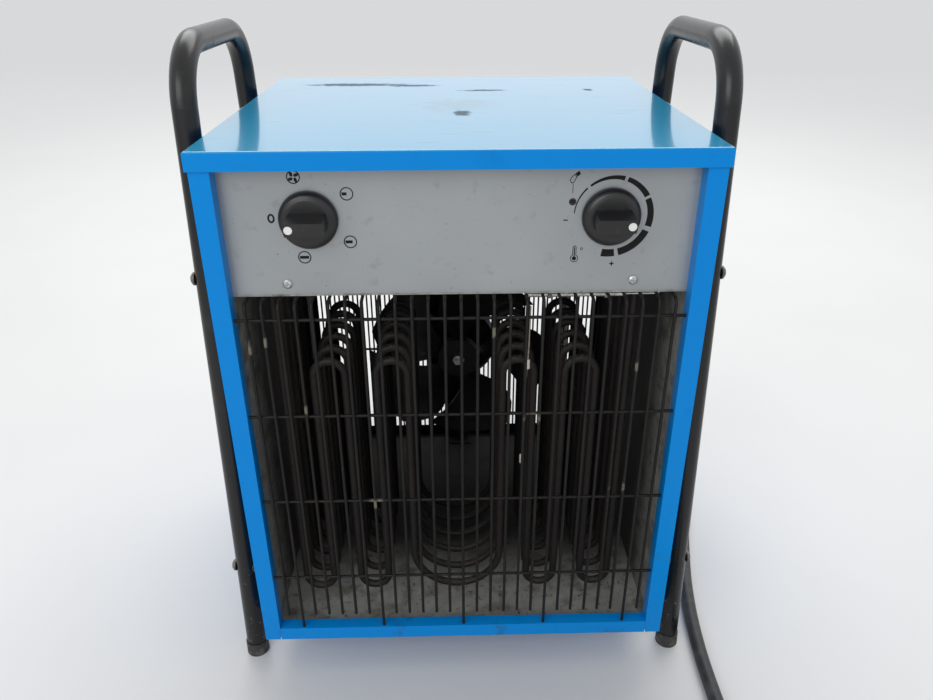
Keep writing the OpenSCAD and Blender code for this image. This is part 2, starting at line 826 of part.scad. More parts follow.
// Cam switch: a square front plate and a stack of wafers
module selector_switch() {
    color([0.85, 0.83, 0.78]) placed() difference() {
        union() {
            translate([-knob_x - switch_w / 2, panel_back, knob_z - switch_w / 2])
                cube([switch_w, switch_wafer_l / 2, switch_w]);
            for (i = [0 : 3])
                translate([-knob_x - switch_w * 0.45, panel_back + switch_wafer_l * (0.5 + i),
                    knob_z - switch_w * 0.45])
                    cube([switch_w * 0.9, switch_wafer_l * 0.92, switch_w * 0.9]);
            rod_y(switch_w * 0.3, switch_l - switch_wafer_l,
                [-knob_x, panel_back + switch_wafer_l / 2, knob_z]);
            for (i = [0 : 3]) for (s = [-1, 1])
                translate([-knob_x + s * switch_w * 0.45 - switch_wafer_l * 0.2,
                    panel_back + switch_wafer_l * (0.75 + i), knob_z - switch_w / 3])
                    cube([switch_wafer_l * 0.4, switch_wafer_l * 0.4, switch_w * 2 / 3]);
        }
        spindle_bore(-knob_x);
    }
}

module thermostat_body() {
    color("silver") placed() difference() {
        union() {
            translate([knob_x - thermostat_w / 2, panel_back, knob_z - thermostat_w / 2])
                cube([thermostat_w, thermostat_l, thermostat_w]);
            rod_y(thermostat_w * 0.35, thermostat_l * 0.4, [knob_x, panel_back + thermostat_l, knob_z]);
            translate([knob_x - thermostat_w * 0.3, panel_back + thermostat_l, knob_z - thermostat_w / 2])
                cube([thermostat_w * 0.6, thermostat_l / 4, thermostat_w / 6]);
        }
        spindle_bore(knob_x);
    }
}

// Quarter bend of the capillary in the plane that X and Z span
module capillary_bend(from_a) {
    rotate([90, 0, 0]) rotate([0, 0, from_a]) rotate_extrude(angle = 90, $fn = 32)
        translate([capillary_bend_r, 0]) circle(r = capillary_r, $fn = 20);
}

module sensing_capillary() {
    bulb_out = bulb_end_x + bulb_l;
    top_z = knob_z - thermostat_w / 4;
    up_x = capillary_x;
    color("silver") placed() translate([0, bulb_y, 0]) {
        rod_x(capillary_r, up_x - capillary_bend_r - bulb_out, [bulb_out, 0, bulb_z], 20);
        translate([up_x - capillary_bend_r, 0, bulb_z + capillary_bend_r]) capillary_bend(270);
        translate([up_x, 0, bulb_z + capillary_bend_r])
            cylinder(r = capillary_r, h = top_z - bulb_z - 2 * capillary_bend_r, $fn = 20);
        translate([up_x - capillary_bend_r, 0, top_z - capillary_bend_r]) capillary_bend(0);
        rod_x(capillary_r, up_x - capillary_bend_r - knob_x - thermostat_w / 2,
            [knob_x + thermostat_w / 2, 0, top_z], 20);
    }
}

module sensing_bulb() {
    color("silver") placed() rod_x(bulb_r, bulb_l, [bulb_end_x, bulb_y, bulb_z], 32);
}

module bulb_clips() {
    out = bulb_r + seat_gap + clip_t;
    color("lightgray") placed()
        for (x = [bulb_end_x + bulb_l * 0.2, bulb_end_x + bulb_l * 0.8]) difference() {
            union() {
                rod_x(out, 4 * clip_t, [x, bulb_y, bulb_z], 32);
                translate([x, bulb_y - clip_t / 2, bulb_z]) cube([4 * clip_t, clip_t, shelf_under - bulb_z]);
            }
            rod_x(bulb_r + seat_gap, 4 * clip_t + 2 * cut, [x - cut, bulb_y, bulb_z], 32);
        }
}

module reset_button() {
    color([0.6, 0.1, 0.1]) placed() {
        rod_y(reset_d / 2, reset_stem_l, [reset_x, panel_y - hole_gap, reset_z], 32);
        rod_y(reset_collar_r, reset_travel, [reset_x, panel_back + reset_travel, reset_z], 32);
    }
}

module thermal_cutout() {
    wall = cutout_r - reset_collar_r - hole_gap;
    color([0.1, 0.1, 0.1]) placed() difference() {
        union() {
            rod_y(cutout_r, cutout_l, [reset_x, panel_back, reset_z]);
            for (s = [-1, 1])
                translate([reset_x + s * cutout_r / 2 - wall / 4, panel_back + cutout_l, reset_z - wall])
                    cube([wall / 2, 2 * wall, 2 * wall]);
        }
        rod_y(reset_collar_r + hole_gap, 4 * reset_travel, [reset_x, panel_back - cut, reset_z], 32);
        rod_y(reset_d / 2 + run_gap, reset_stem_l + 2 * reset_travel, [reset_x, panel_back, reset_z], 32);
    }
}

module mounting_rail() {
    color("lightgray") placed() translate([-rail_length / 2, rail_y, shelf_top]) difference() {
        union() {
            translate([0, rail_w * 0.2, 0]) cube([rail_length, rail_w * 0.6, rail_h]);
            translate([0, 0, rail_h - shelf_t]) cube([rail_length, rail_w, shelf_t]);
        }
        translate([-cut, rail_w * 0.2 + shelf_t, shelf_t])
            cube([rail_length + 2 * cut, rail_w * 0.6 - 2 * shelf_t, rail_h]);
    }
}

// Three-pole contactor: a stepped housing with terminal shoulders at front and back
module contactor() {
    low = shelf_top + rail_h + hole_gap;
    mid_y = rail_y + rail_w / 2;
    color([0.2, 0.2, 0.22]) placed() translate([-rail_length * 0.3, mid_y, low]) difference() {
        union() {
            translate([-contactor_w / 2, -contactor_d / 2, 0])
                cube([contactor_w, contactor_d, contactor_h * 0.55]);
            translate([-contactor_w / 2, -contactor_d * 0.28, 0])
                cube([contactor_w, contactor_d * 0.56, contactor_h]);
        }
        for (i = [-1, 0, 1]) for (s = [-1, 1])
            translate([i * contactor_w * 0.31, s * contactor_d * 0.39, contactor_h * 0.3])
                cylinder(r = contactor_w * 0.08, h = contactor_h);
    }
}

module terminal_block() {
    color([0.9, 0.88, 0.8]) placed() difference() {
        translate([block_x, block_y, shelf_top])
            cube([block_pitch * block_poles, 3 * block_pitch, 2.4 * block_pitch]);
        for (i = [0 : block_poles - 1]) for (k = [0.8, 2.2])
            translate([block_x + (i + 0.5) * block_pitch, block_y + k * block_pitch, shelf_top + block_pitch])
                cylinder(r = block_pitch * 0.28, h = 2 * block_pitch);
    }
}

// Hairpin element in the XZ plane: two ends up, four arches, four narrow bends, one wide bend
module element(row) {
    r = element_d / 2;
    small = run_pitch / 2;
    low = bend_bottom + small;
    high = arch_top - small;
    placed() translate([-element_shift, row_front + row * row_pitch, 0]) {
        both_sides() {
            for (k = run_shares) {
                x = middle_r + k * run_pitch;
                start = k == 0 ? bend_bottom + middle_r : low;
                translate([x, 0, start]) cylinder(r = r, h = high - start, $fn = 32);
            }
            translate([middle_r + 4 * run_pitch, 0, low]) cylinder(r = r, h = leg_top - low, $fn = 32);
            for (k = [0.5, 2.5]) translate([middle_r + k * run_pitch, 0, high]) half_bend(small, r);
            for (k = [1.5, 3.5]) translate([middle_r + k * run_pitch, 0, low])
                mirror([0, 0, 1]) half_bend(small, r);
        }
        translate([0, 0, bend_bottom + middle_r]) mirror([0, 0, 1]) half_bend(middle_r, r);
    }
}

module half_bend(bend_r, r) {
    rotate([90, 0, 0]) rotate_extrude(angle = 180, $fn = 48)
        translate([bend_r, 0]) circle(r = r, $fn = 32);
}

module heating_element(row) {
    if (row < rows) color([0.22, 0.17, 0.15]) element(row);
}

module element_bushings() {
    color("goldenrod") placed() at_element_ends() difference() {
        translate([0, 0, shelf_top]) cylinder(r = bushing_r, h = bushing_h, $fn = 6);
        translate([0, 0, shelf_top - cut]) cylinder(d = element_d + 2 * hole_gap, h = bushing_h + 2 * cut);
    }
}

module element_terminals() {
    color([0.9, 0.88, 0.84]) placed() at_element_ends() translate([0, 0, leg_top]) {
        cylinder(r = element_d / 2, h = terminal_h / 4, $fn = 32);
        cylinder(r = stud_r, h = terminal_h, $fn = 24);
        translate([0, 0, terminal_h / 2]) cylinder(r = terminal_r, h = terminal_h / 5, $fn = 6);
    }
}

// One blade as a thin twisted and cambered sheet, from its root share 0 to its tip share 1
blade_steps = 8;
chord_steps = 8;
function blade_r(u) = hub_r + run_gap + (fan_d / 2 - hub_r - run_gap) * u;
function blade_a(u, w) = blade_sweep_a * u * u + blade_span_a * (0.55 + 0.45 * sin(140 * u)) * (w - 0.5);
function blade_pitch_l(u) = blade_depth * (0.62 + 0.38 * u);
function blade_y(u, w) = blade_pitch_l(u) * (w - 0.5) + 4 * blade_t * (0.25 - (w - 0.5) * (w - 0.5));
function blade_point(u, w, side) = [
    blade_r(u) * cos(blade_a(u, w)), blade_r(u) * sin(blade_a(u, w)),
    blade_y(u, w) + side * blade_t / 2
];

module blade() {
    row = chord_steps + 1;
    face = (blade_steps + 1) * row;
    points = [
        for (side = [-1, 1]) for (i = [0 : blade_steps]) for (j = [0 : chord_steps])
        blade_point(i / blade_steps, j / chord_steps, side)
    ];
    skin = [
        for (i = [0 : blade_steps - 1]) for (j = [0 : chord_steps - 1])
        let (a = i * row + j, b = a + 1, c = a + row, d = c + 1)
        each [[a, b, c], [b, d, c], [a + face, c + face, b + face], [b + face, c + face, d + face]]
    ];
    root_tip = [
        for (j = [0 : chord_steps - 1])
        let (a = j, b = j + 1, c = blade_steps * row + j, d = c + 1)
        each [[a, a + face, b], [b, a + face, b + face], [c, d, c + face], [d, d + face, c + face]]
    ];
    edges = [
        for (i = [0 : blade_steps - 1])
        let (a = i * row, b = a + row, c = a + chord_steps, d = c + row)
        each [[a, b, a + face], [b, b + face, a + face], [c, c + face, d], [d, c + face, d + face]]
    ];
    polyhedron(points = points,
        faces = [for (f = concat(skin, root_tip, edges)) [f[0], f[2], f[1]]]);
}

module fan_blades() {
    color([0.25, 0.25, 0.26]) placed() translate([0, fan_y, fan_z]) rotate([-90, 0, 0])
        for (i = [0 : blade_count - 1]) rotate([0, 0, 360 * i / blade_count + first_blade_a]) blade();
}

module fan_hub() {
    color([0.25, 0.25, 0.26]) placed() translate([0, fan_y, fan_z]) rotate([-90, 0, 0]) {
        difference() {
            translate([0, 0, -hub_l / 2]) cylinder(r = hub_r, h = hub_l);
            translate([0, 0, hub_web - hub_l / 2]) cylinder(r = hub_r - 2 * blade_t, h = hub_l);
            translate([0, 0, -hub_l]) cylinder(r = shaft_r + run_gap, h = 2 * hub_l);
        }
        difference() {
            translate([0, 0, -hub_l / 2]) cylinder(r = shaft_d, h = hub_l);
            translate([0, 0, -hub_l]) cylinder(r = shaft_r + run_gap, h = 2 * hub_l);
        }
    }
}

module motor_shaft() {
    low = fan_y - hub_l / 2 - shaft_d;
    color("silver") placed() rod_y(shaft_r, motor_back - motor_r / 2 - low, [0, low, fan_z]);
}

module fan_nut() {
    color("silver") placed() difference() {
        rod_y(shaft_d, shaft_d * 0.7, [0, fan_y - hub_l / 2 - shaft_d * 0.7, fan_z], 6);
        rod_y(shaft_r + run_gap, 2 * shaft_d, [0, fan_y - hub_l / 2 - shaft_d, fan_z]);
    }
}

module fan_motor() {
    body_l = motor_back - motor_front;
    rim = motor_r * 0.12;
    color([0.12, 0.12, 0.13]) placed() translate([0, motor_front, fan_z]) rotate([-90, 0, 0])
        difference() {
            rotate_extrude($fn = 64) polygon([
                [0, 0], [motor_r * 0.3, 0], [motor_r * 0.3, rim], [motor_r - rim, rim],
                [motor_r, 2 * rim], [motor_r, body_l - rim], [motor_r - rim, body_l], [0, body_l]
            ]);
            translate([0, 0, -cut])
                cylinder(r = shaft_r + run_gap, h = body_l - motor_r / 2 + cut + seat_gap);
            for (i = [0 : 7]) rotate([0, 0, 45 * i])
                translate([motor_r * 0.62, 0, -cut]) cylinder(r = rim, h = 2 * rim + cut, $fn = 24);
            for (s = [-1, 1]) translate([0, s * motor_screw_z, body_l / 2])
                cylinder(d = motor_screw_d + 2 * run_gap, h = body_l);
        }
}

module motor_bracket() {
    low = floor_z + liner_t;
    color("lightgray") placed() translate([0, bracket_y, 0]) difference() {
        union() {
            translate([-bracket_plate_half, 0, bracket_plate_z])
                cube([2 * bracket_plate_half, bracket_t, shelf_under - bracket_plate_z]);
            translate([-bracket_strip_half, 0, low])
                cube([2 * bracket_strip_half, bracket_t, bracket_plate_z - low]);
            translate([-bracket_plate_half, -shelf_flange_h, shelf_under - bracket_t])
                cube([2 * bracket_plate_half, shelf_flange_h, bracket_t]);
            translate([-bracket_strip_half, -shelf_flange_h, low])
                cube([2 * bracket_strip_half, shelf_flange_h, bracket_t]);
        }
        for (s = [-1, 1])
            rod_y(motor_screw_d / 2 + hole_gap, bracket_t + 2 * cut, [0, -cut, fan_z + s * motor_screw_z]);
    }
}

module motor_screws() {
    color("silver") placed() for (s = [-1, 1])
        translate([0, bracket_y + bracket_t, fan_z + s * motor_screw_z]) {
            rod_y(motor_screw_d * 0.8, motor_screw_d * 0.05);
            rod_y(motor_screw_d / 2, 2 * motor_screw_d, [0, -2 * motor_screw_d, 0]);
        }
}

module cable_gland() {
    color([0.75, 0.76, 0.78]) placed() translate([gland_x, gland_face, gland_z]) {
        rod_y(gland_hex_r, gland_flange_t, [0, 0, 0], 6);
        rod_y(gland_dome_r, gland_dome_l - gland_flange_t / 2, [0, gland_flange_t, 0]);
        translate([0, gland_flange_t + gland_dome_l - gland_flange_t / 2, 0]) rotate([-90, 0, 0])
            cylinder(r1 = gland_dome_r, r2 = boot_base_r, h = gland_flange_t / 2);
        rod_y(gland_thread_r, gland_thread_l, [0, -gland_thread_l, 0]);
    }
}

module gland_locknut() {
    color([0.75, 0.76, 0.78]) placed() difference() {
        rod_y(gland_hex_r, nut_h, [gland_x, rear_panel_y - nut_h, gland_z], 6);
        rod_y(gland_thread_r + run_gap, nut_h + 2 * cut, [gland_x, rear_panel_y - nut_h - cut, gland_z]);
    }
}

// Tapered strain relief with rings
module cord_boot() {
    color([0.1, 0.1, 0.1]) placed() translate([gland_x, boot_y, gland_z]) rotate([-90, 0, 0])
        rotate_extrude() polygon(concat([[0, 0]],
            [for (i = [0 : 5]) each
                let (r = boot_base_r + (boot_tip_r - boot_base_r) * i / 5, neck = r - boot_base_r / 13,
                    z = boot_l * i / 6)
                [[r, z], [r, z + boot_l / 10], [neck, z + boot_l / 10], [neck, z + boot_l / 6]]],
            [[0, boot_l]]));
}

module supply_cord() {
    color([0.1, 0.1, 0.1]) placed() swept(concat([[gland_x, cord_start_y, gland_z]],
        [for (i = [1 : len(cord_route) - 1]) cord_route[i]]), cord_r, cord_sides, [1, 0, 0]);
}

module cord_coil() {
    color([0.1, 0.1, 0.1]) placed() swept(coil_path, cord_r, coil_sides, [0, 0, 1]);
}

module cord_tail() {
    color([0.1, 0.1, 0.1]) placed() swept(tail_route, cord_r, cord_sides, [0, 1, 0]);
}

// Strap round the two layers on the coil's left side
module cord_tie() {
    strap = 1;
    strap_w = 6;
    inner_r = loop_r(1.5) - cord_r - 0.6 * strap;
    outer_r = loop_r(0.5) + cord_r;
    w = outer_r - inner_r;
    h = layer_step + cord_d + coil_lift - 0.4 * strap;
    color([0.08, 0.08, 0.08]) placed()
        translate([coil_centre[0] - (inner_r + outer_r) / 2, coil_centre[1] - strap_w / 2, 0.4 * strap])
            rotate([-90, 0, 0]) linear_extrude(strap_w) mirror([0, 1]) difference() {
                strap_shape(w + 2 * strap, h + 1.4 * strap);
                translate([0, strap]) strap_shape(w, h - 0.4 * strap);
            }
}

module strap_shape(w, h) {
    r = min(w, h) / 4;
    translate([-w / 2 + r, 0]) square([w - 2 * r, h]);
    translate([-w / 2, r]) square([w, h - 2 * r]);
    for (x = [-1, 1]) for (z = [r, h - r]) translate([x * (w / 2 - r), z]) circle(r = r, $fn = 32);
}

// Five-pin plug lying along X, with its cord end to the right
module plug_body() {
    hull_l = plug_l - plug_nut_l - plug_shroud_l;
    color([0.75, 0.1, 0.08]) placed() translate([plug_x, plug_y, plug_z]) rotate([0, -90, 0])
        difference() {
            union() {
                cylinder(r = plug_nut_r, h = plug_nut_l, $fn = 12);
                translate([0, 0, plug_nut_l])
                    cylinder(r1 = plug_nut_r * 1.3, r2 = plug_body_r, h = hull_l / 3);
                translate([0, 0, plug_nut_l + hull_l / 3]) cylinder(r = plug_body_r, h = hull_l * 2 / 3);
                translate([0, 0, plug_nut_l + hull_l]) {
                    cylinder(r = plug_r, h = plug_shroud_l / 5);
                    cylinder(r = plug_r - plug_shroud_wall, h = plug_shroud_l);
                }
            }
            translate([0, 0, plug_nut_l + hull_l + plug_shroud_wall])
                cylinder(r = plug_r - 2 * plug_shroud_wall, h = plug_shroud_l);
        }
}

module plug_pins() {
    seat = plug_l - plug_shroud_l + plug_shroud_wall;
    color("gold") placed() translate([plug_x, plug_y, plug_z]) rotate([0, -90, 0])
        translate([0, 0, seat]) for (i = [0 : 4])
            rotate([0, 0, 72 * i]) translate([plug_pin_ring_r, 0, 0])
                cylinder(r = i == 0 ? plug_pin_r * 1.3 : plug_pin_r, h = plug_pin_l, $fn = 32);
}

lid();
lid_screws();
left_side_panel();
right_side_panel();
base_tray();
inner_floor();
left_liner();
right_liner();
component_shelf();
control_panel();
panel_screws();
rear_panel();
front_grille();
rear_grille();
left_frame_tube();
right_frame_tube();
foot_caps();
frame_spacers();
frame_bolts();
frame_nuts();
selector_knob();
selector_shaft();
selector_switch();
thermostat_knob();
thermostat_shaft();
thermostat_body();
sensing_capillary();
sensing_bulb();
bulb_clips();
reset_button();
thermal_cutout();
mounting_rail();
contactor();
terminal_block();
heating_element(0);  // heating_element_1
heating_element(1);  // heating_element_2
heating_element(2);  // heating_element_3
heating_element(3);  // heating_element_4
heating_element(4);  // heating_element_5
heating_element(5);  // heating_element_6
element_bushings();
element_terminals();
fan_blades();
fan_hub();
motor_shaft();
fan_nut();
fan_motor();
motor_bracket();
motor_screws();
cable_gland();
gland_locknut();
cord_boot();
supply_cord();
cord_coil();
cord_tail();
cord_tie();
plug_body();
plug_pins();
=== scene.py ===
"""Looks of the electric fan heater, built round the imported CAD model."""
import math

import bmesh
import bpy
from mathutils import Matrix, Vector


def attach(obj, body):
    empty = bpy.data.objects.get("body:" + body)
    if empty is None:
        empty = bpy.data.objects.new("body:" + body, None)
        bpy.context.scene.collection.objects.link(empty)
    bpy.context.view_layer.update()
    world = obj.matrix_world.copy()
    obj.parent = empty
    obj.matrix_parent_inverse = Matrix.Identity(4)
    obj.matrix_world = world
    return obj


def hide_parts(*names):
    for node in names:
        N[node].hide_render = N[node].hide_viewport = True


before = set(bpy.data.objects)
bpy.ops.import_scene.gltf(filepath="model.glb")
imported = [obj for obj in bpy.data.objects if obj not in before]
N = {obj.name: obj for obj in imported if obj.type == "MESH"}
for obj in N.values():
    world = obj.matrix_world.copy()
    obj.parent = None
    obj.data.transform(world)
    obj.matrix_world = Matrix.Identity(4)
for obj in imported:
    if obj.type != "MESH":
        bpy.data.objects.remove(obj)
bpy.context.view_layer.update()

# Depth of the lid's front face in the shared frame, in metres; the depths below start there
Y0 = -0.1995
# Depth of the control panel and height of the lid's top, in millimetres
PANEL_DEPTH = 17
LID_TOP = 590
PANEL_Y = Y0 + PANEL_DEPTH / 1000


def row(x, y, z):
    """A point in millimetres, its depth from the lid's front, as shared-frame metres."""
    return Vector((x / 1000, y / 1000 + Y0, z / 1000))


# Camera, solved from the edges of the heater in the photograph
PITCH, YAW, ROLL = 0.47356162, 0.02144378, 0.00405758
FOCAL_PX = 769.6568
PHOTO_WIDTH_PX = 933
SENSOR_WIDTH = 36
cam_at = row(-8.8437, -613.6741, 726.6106)
ahead = Vector((math.sin(YAW) * math.cos(PITCH), math.cos(YAW) * math.cos(PITCH), -math.sin(PITCH)))
right = Vector((math.cos(YAW), -math.sin(YAW), 0))
down = ahead.cross(right)
rolled_right = right * math.cos(ROLL) + down * math.sin(ROLL)
rolled_down = -right * math.sin(ROLL) + down * math.cos(ROLL)
cam_data = bpy.data.cameras.new("camera")
cam_data.sensor_fit = "HORIZONTAL"
cam_data.sensor_width = SENSOR_WIDTH
cam_data.lens = FOCAL_PX * SENSOR_WIDTH / PHOTO_WIDTH_PX
cam_data.clip_start = 0.01
cam = bpy.data.objects.new("camera", cam_data)
bpy.context.scene.collection.objects.link(cam)
cam.matrix_world = Matrix((
    (rolled_right.x, -rolled_down.x, -ahead.x, cam_at.x),
    (rolled_right.y, -rolled_down.y, -ahead.y, cam_at.y),
    (rolled_right.z, -rolled_down.z, -ahead.z, cam_at.z),
    (0, 0, 0, 1)))
bpy.context.scene.camera = cam


# Materials
NOISE_ROUGHNESS = 0.55


class Mat:
    """A node material with short helpers for masks and mixes."""

    def __init__(self, name, color, rough=0.5, metal=0.0, **other):
        self.m = bpy.data.materials.new(name)
        self.m.use_nodes = True
        self.t = self.m.node_tree
        self.b = next(n for n in self.t.nodes if n.type == "BSDF_PRINCIPLED")
        self.color = (*color, 1)
        self.rough = rough
        self.b.inputs["Metallic"].default_value = metal
        for k, v in other.items():
            self.b.inputs[k.replace("_", " ")].default_value = v
        self.pos = self.t.nodes.new("ShaderNodeTexCoord").outputs["Object"]

    def node(self, kind, **props):
        n = self.t.nodes.new(kind)
        for k, v in props.items():
            setattr(n, k, v)
        return n

    def put(self, socket, value):
        if hasattr(value, "links"):
            self.t.links.new(value, socket)
        else:
            socket.default_value = value

    def math(self, op, a, b=0.0):
        n = self.node("ShaderNodeMath", operation=op)
        self.put(n.inputs[0], a)
        self.put(n.inputs[1], b)
        return n.outputs[0]

    def scaled(self, scale):
        n = self.node("ShaderNodeMapping")
        n.inputs["Scale"].default_value = scale
        self.t.links.new(self.pos, n.inputs["Vector"])
        return n.outputs[0]

    def noise(self, scale, detail=4.0, stretch=None):
        n = self.node("ShaderNodeTexNoise")
        self.put(n.inputs["Vector"], self.scaled(stretch) if stretch else self.pos)
        n.inputs["Scale"].default_value = scale
        n.inputs["Detail"].default_value = detail
        n.inputs["Roughness"].default_value = NOISE_ROUGHNESS
        return n.outputs["Fac"]

    def ramp(self, value, low, high):
        """Smooth step: 0 where the value is at low, 1 where it is at high."""
        n = self.node("ShaderNodeMapRange", clamp=True)
        n.interpolation_type = "SMOOTHSTEP"
        self.put(n.inputs["Value"], value)
        n.inputs["From Min"].default_value = low
        n.inputs["From Max"].default_value = high
        return n.outputs["Result"]

    def axis(self, which):
        """Place along one axis of the shared frame, in metres."""
        n = self.node("ShaderNodeSeparateXYZ")
        self.t.links.new(self.pos, n.inputs[0])
        return n.outputs[which]

    def facing(self, which):
        """The face's normal along one axis."""
        g = self.node("ShaderNodeNewGeometry")
        n = self.node("ShaderNodeSeparateXYZ")
        self.t.links.new(g.outputs["Normal"], n.inputs[0])
        return n.outputs[which]

    def edge(self, low, high):
        """1 on outer edges, 0 elsewhere."""
        g = self.node("ShaderNodeNewGeometry")
        return self.ramp(g.outputs["Pointiness"], low, high)

    def blob(self, at, size, low, high, grain, scale):
        """1 inside an ellipsoid round a point, 0 outside, with a ragged rim."""
        n = self.node("ShaderNodeMapping", vector_type="TEXTURE")
        n.inputs["Location"].default_value = at
        n.inputs["Scale"].default_value = size
        self.t.links.new(self.pos, n.inputs["Vector"])
        d = self.node("ShaderNodeVectorMath", operation="LENGTH")
        self.t.links.new(n.outputs[0], d.inputs[0])
        ragged = self.math("SUBTRACT", self.noise(scale), 0.5)
        v = self.math("ADD", d.outputs["Value"], self.math("MULTIPLY", ragged, grain))
        return self.ramp(v, low, high)

    def paint(self, mask, color, rough=None, amount=1.0):
        """Mix a colour, and a roughness if given, over what is there, as far as the mask goes."""
        if amount != 1.0:
            mask = self.math("MULTIPLY", mask, amount)
        n = self.node("ShaderNodeMix", data_type="RGBA")
        self.put(n.inputs[0], mask)
        self.put(n.inputs[6], self.color)
        self.put(n.inputs[7], (*color, 1))
        self.color = n.outputs[2]
        if rough is not None:
            r = self.node("ShaderNodeMix", data_type="FLOAT")
            self.put(r.inputs[0], mask)
            self.put(r.inputs[2], self.rough)
            self.put(r.inputs[3], rough)
            self.rough = r.outputs[0]

    def bump(self, height, strength=0.2, distance=0.001):
        n = self.node("ShaderNodeBump")
        n.inputs["Strength"].default_value = strength
        n.inputs["Distance"].default_value = distance
        self.put(n.inputs["Height"], height)
        self.put(self.b.inputs["Normal"], n.outputs[0])

    def done(self, *names):
        """Join colour and roughness to the shader, and give the material to these pieces."""
        self.put(self.b.inputs["Base Color"], self.color)
        self.put(self.b.inputs["Roughness"], self.rough)
        for n in names:
            o = N[n] if isinstance(n, str) else n
            o.data.materials.clear()
            o.data.materials.append(self.m)
        return self.m


BLUE = (0.0004, 0.225, 0.66)
GRIME = (0.035, 0.03, 0.025)
# Near-black of the painted shade inside the case
INSIDE_SHADE = (0.0035, 0.0035, 0.0035)
# Shared-frame depths where the painted shade inside the case starts and is full, and the half widths
# that bound it, in metres
INSIDE_SHADE_FROM, INSIDE_SHADE_TO = 0.16, 0.175
SIDE_OUTER, SIDE_INNER = 0.2125, 0.2095
# Places of the worn spots on the lid: across, depth, half width and half depth in millimetres
LID_SPOTS = ((-118, 350, 66, 12), (-50, 340, 34, 10), (4, 160, 9, 18), (30, 300, 28, 7), (150, 300, 6, 8))
# Places of lint on the front grille: across and height in millimetres, at a depth of LINT_DEPTH
LINT_DEPTH = 10
LINT = ((-181, 420), (-172, 421), (-188, 413), (28, 428), (-149, 349), (163, 390), (67, 336),
        (-87, 238), (155, 254))


def blue(name, *nodes, top=False):
    """Glossy blue paint: dirt low down, painted shade inside, wear and a painted-light top on the lid."""
    m = Mat(name, BLUE, 0.3, Specular_IOR_Level=0.14)
    m.paint(m.ramp(m.noise(3.0, 3), 0.35, 0.7), (0.0006, 0.25, 0.68), amount=0.5)
    m.paint(m.ramp(m.noise(26, 6), 0.58, 0.8), (0.001, 0.13, 0.45), 0.45, 0.3)
    specks = m.ramp(m.noise(420, 3), 0.71, 0.76)
    m.paint(m.math("MULTIPLY", specks, m.ramp(m.noise(9, 2), 0.5, 0.62)), GRIME, 0.8, 0.6)
    if top:
        top_shade_and_gloss = m.ramp(m.facing(2), 0.4, 0.9)
        m.b.inputs["Coat Roughness"].default_value = 0.07
        m.b.inputs["Coat IOR"].default_value = 1.75
        # Painted light: the up-facing faces get a blue of their own, set for how the top is lit; the same
        # mask limits the coat
        m.paint(top_shade_and_gloss, (0.0004, 0.28, 0.5))
        smudge = m.blob(row(0, 205, LID_TOP), (0.05, 0.05, 0.01), 1.1, 0.2, 1.4, 70)
        m.paint(smudge, (0.05, 0.09, 0.14), 0.5, 0.3)
        worn = 0.0
        for x, y, wide, deep in LID_SPOTS:
            spot = m.blob(row(x, y, LID_TOP), (wide / 1000, deep / 1000, 0.01), 1.1, 0.5, 1.5, 140)
            m.paint(spot, (0.02, 0.035, 0.05), 0.7, 0.9)
            worn = m.math("MAXIMUM", spot, worn)
        unworn = m.math("SUBTRACT", 1.0, m.math("MULTIPLY", worn, 0.8))
        m.put(m.b.inputs["Coat Weight"], m.math("MULTIPLY", top_shade_and_gloss, unworn))
        streak = m.ramp(m.noise(55, 5, (0.25, 2.2, 1)), 0.62, 0.75)
        m.paint(streak, (0.03, 0.10, 0.2), 0.5, 0.3)
    low = m.ramp(m.axis(2), 0.25, 0.055)
    m.paint(m.math("MULTIPLY", low, m.ramp(m.noise(40, 6), 0.56, 0.7)), (0.03, 0.05, 0.06), 0.7, 0.4)
    # Painted shade: the case's inner faces turn near-black towards the back
    if not top:
        across = m.math("ABSOLUTE", m.axis(0))
        inside = m.math("MULTIPLY", m.ramp(m.axis(1), INSIDE_SHADE_FROM, INSIDE_SHADE_TO), m.ramp(m.facing(1), 0.6, 0.3))
        inside = m.math("MULTIPLY", inside, m.ramp(across, SIDE_OUTER, SIDE_INNER))
        m.paint(inside, INSIDE_SHADE, 0.9)
    m.bump(m.noise(700, 2), 0.06, 0.0002)
    m.done(*nodes)


blue("lid_paint", "lid", top=True)
blue("case_paint", "left_side_panel", "right_side_panel", "base_tray", "rear_panel")

m = Mat("panel_print", (0.345, 0.365, 0.373), 0.3, 0.3)
m.paint(m.ramp(m.noise(5, 3), 0.3, 0.7), (0.26, 0.28, 0.30), amount=0.6)
m.paint(m.ramp(m.noise(60, 6), 0.58, 0.75), (0.17, 0.17, 0.16), 0.6, 0.35)
m.paint(m.ramp(m.noise(300, 3), 0.70, 0.75), (0.08, 0.07, 0.06), 0.7, 0.6)
m.done("control_panel")

m = Mat("tube_paint", (0.006, 0.006, 0.0065), 0.27, Specular_IOR_Level=0.4)
m.paint(m.ramp(m.noise(30, 5), 0.55, 0.75), (0.025, 0.024, 0.022), 0.5, 0.5)
mud = m.math("MULTIPLY", m.ramp(m.noise(160, 4), 0.62, 0.7), m.ramp(m.axis(2), 0.2, 0.0))
m.paint(mud, (0.16, 0.13, 0.10), 0.8, 0.8)
m.paint(m.ramp(m.noise(260, 3), 0.74, 0.8), (0.15, 0.14, 0.12), 0.6, 0.4)
m.bump(m.noise(500, 2), 0.05, 0.0002)
m.done("left_frame_tube", "right_frame_tube")


